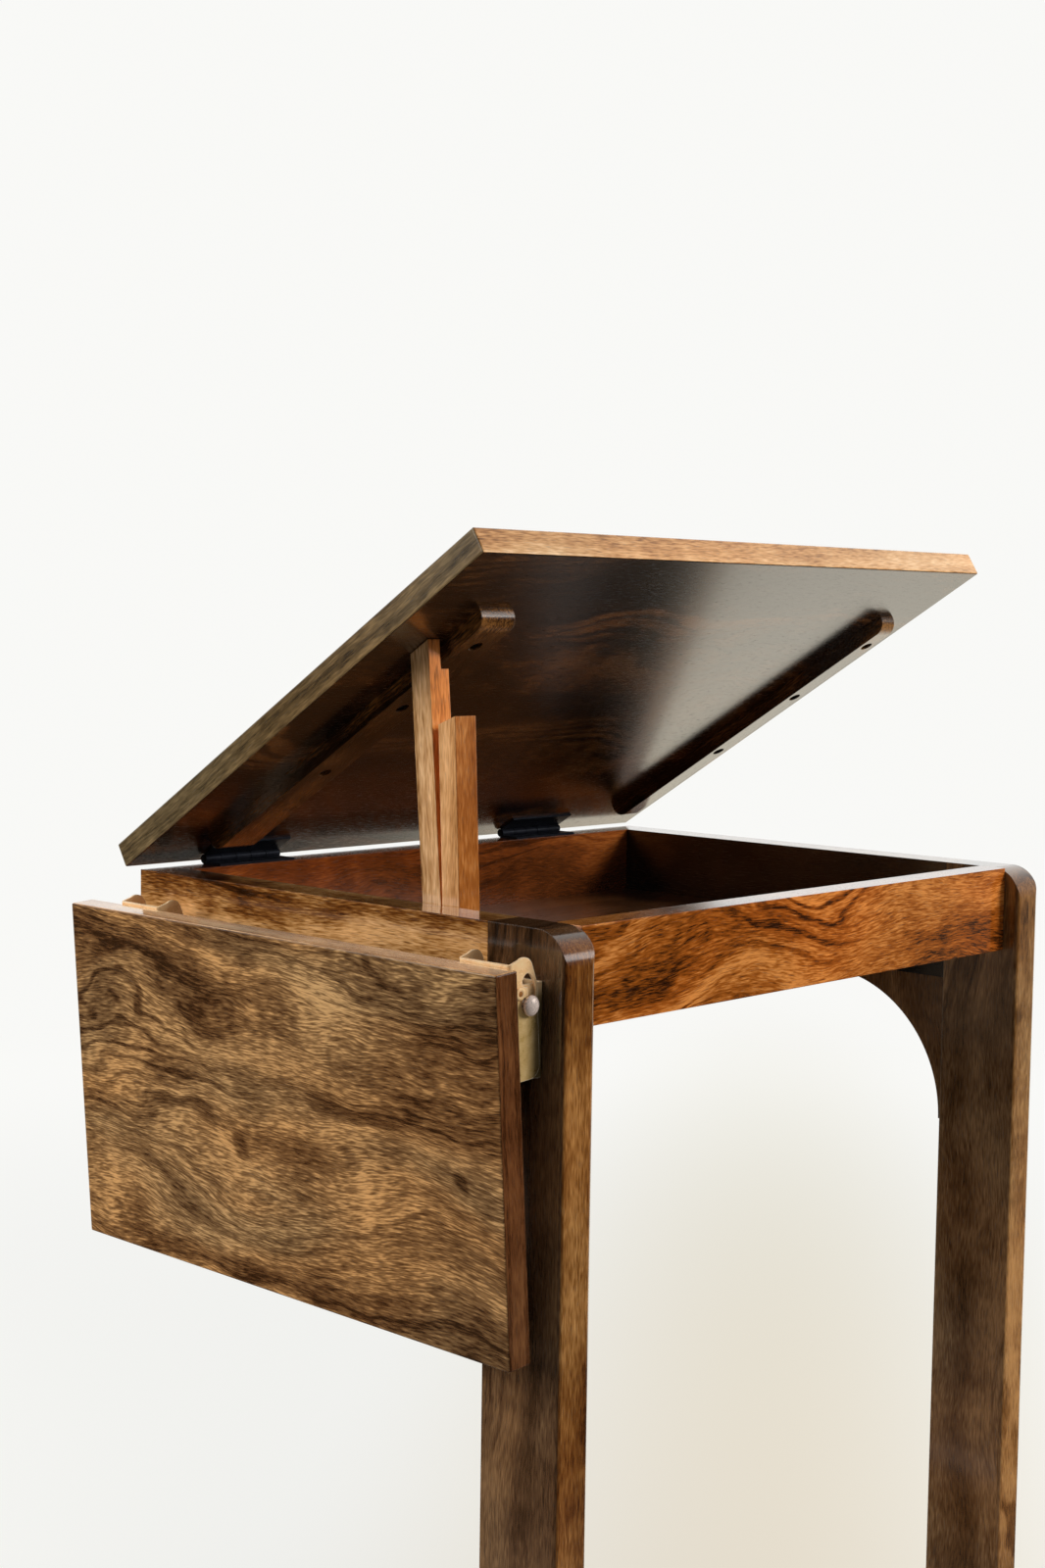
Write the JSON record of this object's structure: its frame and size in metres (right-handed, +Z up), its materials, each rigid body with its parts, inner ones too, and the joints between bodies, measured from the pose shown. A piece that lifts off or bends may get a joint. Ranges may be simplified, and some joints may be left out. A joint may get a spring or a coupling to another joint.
{
  "type": "laptop table",
  "caption": "Laptop table with a C-shaped wooden stand, a shallow tray, a tilting top held by folding props and a drop leaf on folding brackets.",
  "frame": {"origin": "centre of the whole object's outline seen from above, on the floor", "axes": "+Z up, +X towards the drop leaf, +Y towards the legs, so the top is hinged at the -Y end"},
  "size_m": [0.5259, 0.385, 0.8841],
  "materials": {
    "walnut": "gloss lacquer",
    "figured_wood": "gloss lacquer",
    "tray_wood": "satin lacquer",
    "pale_wood": "gloss lacquer",
    "dowel_wood": "plain",
    "black_steel": "blue-black, satin",
    "zinc": "pale yellow zinc plate",
    "nickel": "polished nickel plate",
    "spring_steel": "bright drawn wire",
    "nylon": "matt"
  },
  "bodies": {
    "stand": {"leg_left": "walnut", "leg_right": "walnut", "gusset_top_left": "walnut", "gusset_top_right": "walnut", "gusset_foot_left": "walnut", "gusset_foot_right": "walnut", "stretcher": "walnut", "runner_left": "walnut", "runner_right": "walnut", "side_rail_left": "figured_wood", "side_rail_right": "figured_wood", "cross_rail": "figured_wood", "hinge_rail": "figured_wood", "tray_floor": "tray_wood", "frame_dowels": "dowel_wood", "glides": "nylon", "hinge_right_frame_leaf": "black_steel", "hinge_right_pin": "black_steel", "hinge_left_frame_leaf": "black_steel", "hinge_left_pin": "black_steel", "hinge_rail_screws": "black_steel", "prop_pivot_screws": "black_steel", "prop_washers": "nickel", "leg_bracket_frame_channel": "zinc", "leg_bracket_rivet": "zinc", "leg_bracket_spring": "spring_steel", "rail_bracket_frame_channel": "zinc", "rail_bracket_rivet": "zinc", "rail_bracket_spring": "spring_steel", "bracket_frame_screws": "zinc"},
    "top": {"top_panel": "walnut", "batten_wide": "walnut", "batten_narrow": "walnut", "batten_screws": "black_steel", "hinge_right_top_leaf": "black_steel", "hinge_left_top_leaf": "black_steel", "hinge_top_screws": "black_steel"},
    "prop_tall": {"prop_tall": "pale_wood"},
    "prop_short": {"prop_short": "pale_wood"},
    "leaf": {"leaf_panel": "walnut", "leg_bracket_leaf_channel": "zinc", "rail_bracket_leaf_channel": "zinc", "bracket_leaf_screws": "zinc"},
    "leg_lock": {"leg_bracket_lock_pin": "nickel"},
    "rail_lock": {"rail_bracket_lock_pin": "nickel"}
  },
  "joints": [
    {"name": "top_tilt", "type": "hinge", "parent": "stand", "child": "top", "pos_m": [0, -0.17434, 0.6753], "axis": [1, 0, 0], "range_deg": [0, 66]},
    {"name": "prop_tall_fold", "type": "hinge", "parent": "stand", "child": "prop_tall", "pos_m": [0, 0.06746, 0.6345], "axis": [1, 0, 0], "range_deg": [0, 85.01]},
    {"name": "prop_short_fold", "type": "hinge", "parent": "stand", "child": "prop_short", "pos_m": [0, 0.08076, 0.6505], "axis": [1, 0, 0], "range_deg": [0, 87.21]},
    {"name": "leaf_fold", "type": "hinge", "parent": "stand", "child": "leaf", "pos_m": [0.23875, 0, 0.64], "axis": [0, -1, 0], "range_deg": [0, 94]},
    {"name": "leg_lock_slide", "type": "slide", "parent": "stand", "child": "leg_lock", "axis": [0.7193, 0, 0.6947], "range_m": [0, 0.002], "stiffness_N_per_m": 500, "springref_m": 0.004},
    {"name": "rail_lock_slide", "type": "slide", "parent": "stand", "child": "rail_lock", "axis": [0.7193, 0, 0.6947], "range_m": [0, 0.002], "stiffness_N_per_m": 500, "springref_m": 0.004}
  ],
  "couplings": [
    {"joint": "prop_tall_fold", "follows": "top_tilt", "ratio": 1.2878},
    {"joint": "prop_short_fold", "follows": "top_tilt", "ratio": 1.3212}
  ]
}
